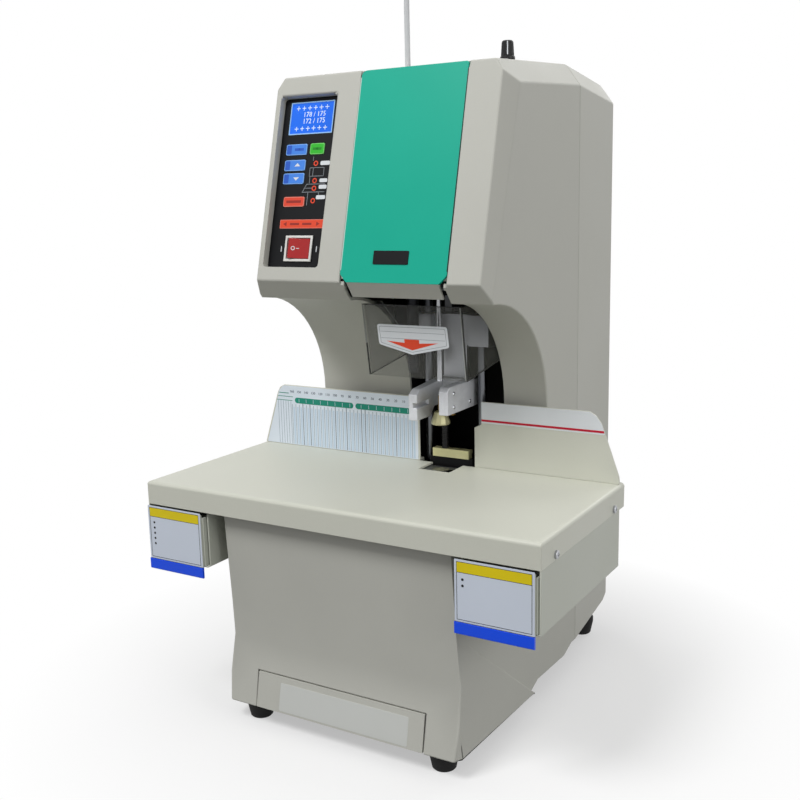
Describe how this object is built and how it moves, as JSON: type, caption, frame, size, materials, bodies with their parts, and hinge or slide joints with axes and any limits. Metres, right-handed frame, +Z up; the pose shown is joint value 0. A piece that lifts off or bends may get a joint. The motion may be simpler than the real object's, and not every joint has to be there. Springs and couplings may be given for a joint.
{
  "type": "document riveting machine",
  "caption": "Desk machine that drills a stack of paper and rivets it with a heated nylon tube; leaning head over a fenced work table, drawers below.",
  "frame": {"origin": "on the bench under the middle of the machine, below the front plane of the paper fence", "axes": "+X to the operator's right, +Y to the machine's back, +Z up"},
  "size_m": [0.4406, 0.4043, 0.745],
  "materials": {
    "casing_moulding": "grey moulded plastic, fine grain",
    "table_sheet": "pale grey enamel",
    "cover_green": "green moulded plastic",
    "chassis": "dark painted steel",
    "deck_steel": "black painted steel",
    "rod_steel": "ground and chromed",
    "machined_steel": "machined",
    "cast_foot": "cast, silver-white",
    "slider_aluminium": "milled",
    "yellow_zinc": "pale yellow zinc plate",
    "pinion_brass": "machined",
    "motor_can": "dark motor housing",
    "solenoid_red": "dark red casing",
    "supply_case": "zinc-grey case",
    "black_plastic": "black",
    "black_fascia": "black printed film",
    "foot_rubber": "black rubber",
    "guard_clear": "smoked clear plastic",
    "display_blue": "lit blue display",
    "board_green": "green circuit board",
    "bezel_white": "white",
    "rocker_red": "red",
    "key_blue": "blue key",
    "key_green": "green key",
    "key_red": "red key",
    "tube_nylon": "translucent nylon"
  },
  "bodies": {
    "machine": {"base_casing": "casing_moulding", "front_casing": "casing_moulding", "rear_casing": "casing_moulding", "bottom_plate": "chassis", "feet": "foot_rubber", "column_frame": "chassis", "lower_deck": "chassis", "guide_rods": "rod_steel", "work_table": "table_sheet", "fence": "table_sheet", "drawer_housings": "table_sheet", "chip_chute": "machined_steel", "guard": "guard_clear", "bay_cheeks": "deck_steel", "stop_block": "deck_steel", "stop_strip": "yellow_zinc", "stop_screw": "black_plastic", "control_fascia": "black_fascia", "display_panel": "display_blue", "control_board": "board_green", "switch_bezel": "bezel_white", "cover_hinge_pin": "machined_steel", "cross_rods": "rod_steel", "shift_solenoid": "solenoid_red", "press_motor": "motor_can", "power_supply": "supply_case", "mains_inlet": "black_plastic", "screws": "machined_steel", "speed_potentiometer": "machined_steel"},
    "chip_drawer": {"chip_drawer": "casing_moulding"},
    "left_drawer": {"left_drawer": "table_sheet"},
    "right_drawer": {"right_drawer": "table_sheet"},
    "front_cover": {"front_cover": "cover_green"},
    "press_foot": {"press_slide": "slider_aluminium", "press_foot": "cast_foot", "press_bushes": "pinion_brass", "press_nozzle": "yellow_zinc"},
    "press_pinion": {"press_pinion": "pinion_brass"},
    "tool_plate": {"tool_plate": "chassis", "lift_motors": "motor_can"},
    "drill_unit": {"drill_slider": "slider_aluminium", "drill_motor": "motor_can"},
    "drill_pinion": {"drill_pinion": "pinion_brass"},
    "spindle": {"drill_spindle": "machined_steel", "hollow_drill": "machined_steel"},
    "rivet_unit": {"rivet_slider": "slider_aluminium", "rivet_ram": "machined_steel"},
    "rivet_pinion": {"rivet_pinion": "pinion_brass"},
    "feed_roller": {"feed_roller": "foot_rubber"},
    "idler_roller": {"idler_roller": "foot_rubber"},
    "rivet_tube": {"rivet_tube": "tube_nylon"},
    "cutter": {"cutter_blade": "machined_steel"},
    "die_slide": {"die_slide": "machined_steel"},
    "roof_knob": {"roof_knob": "black_plastic"},
    "key_mode": {"key_mode": "key_blue"},
    "key_start": {"key_start": "key_green"},
    "key_up": {"key_up": "key_blue"},
    "key_down": {"key_down": "key_blue"},
    "key_stop": {"key_stop": "key_red"},
    "power_rocker": {"power_rocker": "rocker_red"}
  },
  "joints": [
    {"name": "chip_drawer_slide", "type": "slide", "parent": "machine", "child": "chip_drawer", "axis": [0, -1, 0], "range_m": [0, 0.14]},
    {"name": "left_drawer_slide", "type": "slide", "parent": "machine", "child": "left_drawer", "axis": [0, -1, 0], "range_m": [0, 0.15]},
    {"name": "right_drawer_slide", "type": "slide", "parent": "machine", "child": "right_drawer", "axis": [0, -1, 0], "range_m": [0, 0.15]},
    {"name": "cover_hinge", "type": "hinge", "parent": "machine", "child": "front_cover", "pos_m": [0.033, -0.0634, 0.6428], "axis": [-1, 0, 0], "range_deg": [0, 70]},
    {"name": "press_travel", "type": "slide", "parent": "machine", "child": "press_foot", "axis": [0, 0, 1], "range_m": [-0.046, 0]},
    {"name": "press_pinion_turn", "type": "hinge", "parent": "machine", "child": "press_pinion", "pos_m": [0.012, 0.0515, 0.382], "axis": [1, 0, 0], "range_deg": [-2, 221.63]},
    {"name": "tool_shift", "type": "slide", "parent": "machine", "child": "tool_plate", "axis": [1, 0, 0], "range_m": [0, 0.031]},
    {"name": "drill_travel", "type": "slide", "parent": "tool_plate", "child": "drill_unit", "axis": [0, 0, 1], "range_m": [-0.094, 0]},
    {"name": "drill_pinion_turn", "type": "hinge", "parent": "tool_plate", "child": "drill_pinion", "pos_m": [0.0601, 0.04, 0.504], "axis": [0, 1, 0], "range_deg": [-450.82, 2]},
    {"name": "spindle_turn", "type": "hinge", "parent": "drill_unit", "child": "spindle", "pos_m": [0.028, -0.016, 0.5], "axis": [0, 0, 1], "continuous": true},
    {"name": "rivet_travel", "type": "slide", "parent": "tool_plate", "child": "rivet_unit", "axis": [0, 0, 1], "range_m": [-0.094, 0]},
    {"name": "rivet_pinion_turn", "type": "hinge", "parent": "tool_plate", "child": "rivet_pinion", "pos_m": [-0.0351, 0.04, 0.504], "axis": [0, 1, 0], "range_deg": [-2, 450.82]},
    {"name": "tube_feed", "type": "slide", "parent": "rivet_unit", "child": "rivet_tube", "axis": [0, 0, 1], "range_m": [-0.026, 0]},
    {"name": "feed_turn", "type": "hinge", "parent": "rivet_unit", "child": "feed_roller", "pos_m": [-0.01105, -0.016, 0.616], "axis": [0, 1, 0], "range_deg": [-2, 300]},
    {"name": "idler_turn", "type": "hinge", "parent": "rivet_unit", "child": "idler_roller", "pos_m": [0.00505, -0.016, 0.616], "axis": [0, 1, 0], "range_deg": [-300, 2]},
    {"name": "cutter_stroke", "type": "slide", "parent": "rivet_unit", "child": "cutter", "axis": [-1, 0, 0], "range_m": [0, 0.007]},
    {"name": "die_shift", "type": "slide", "parent": "machine", "child": "die_slide", "axis": [1, 0, 0], "range_m": [0, 0.036]},
    {"name": "knob_turn", "type": "hinge", "parent": "machine", "child": "roof_knob", "pos_m": [0.103, -0.01, 0.66], "axis": [0, 0, 1], "range_deg": [-150, 150]},
    {"name": "key_mode_press", "type": "slide", "parent": "machine", "child": "key_mode", "axis": [0, 0.9678, -0.2516], "range_m": [0, 0.0006], "stiffness_N_per_m": 1500},
    {"name": "key_start_press", "type": "slide", "parent": "machine", "child": "key_start", "axis": [0, 0.9678, -0.2516], "range_m": [0, 0.0006], "stiffness_N_per_m": 1500},
    {"name": "key_up_press", "type": "slide", "parent": "machine", "child": "key_up", "axis": [0, 0.9678, -0.2516], "range_m": [0, 0.0006], "stiffness_N_per_m": 1500},
    {"name": "key_down_press", "type": "slide", "parent": "machine", "child": "key_down", "axis": [0, 0.9678, -0.2516], "range_m": [0, 0.0006], "stiffness_N_per_m": 1500},
    {"name": "key_stop_press", "type": "slide", "parent": "machine", "child": "key_stop", "axis": [0, 0.9678, -0.2516], "range_m": [0, 0.0006], "stiffness_N_per_m": 1500},
    {"name": "rocker_tilt", "type": "hinge", "parent": "machine", "child": "power_rocker", "pos_m": [-0.083, -0.09308, 0.47529], "axis": [0, 0.2516, 0.9678], "range_deg": [-16, 0]}
  ],
  "couplings": [
    {"joint": "press_pinion_turn", "follows": "press_travel", "rad_per_m": -83.333},
    {"joint": "drill_pinion_turn", "follows": "drill_travel", "rad_per_m": 83.333},
    {"joint": "rivet_pinion_turn", "follows": "rivet_travel", "rad_per_m": -83.333},
    {"joint": "feed_turn", "follows": "tube_feed", "rad_per_m": -200},
    {"joint": "idler_turn", "follows": "tube_feed", "rad_per_m": 200}
  ]
}
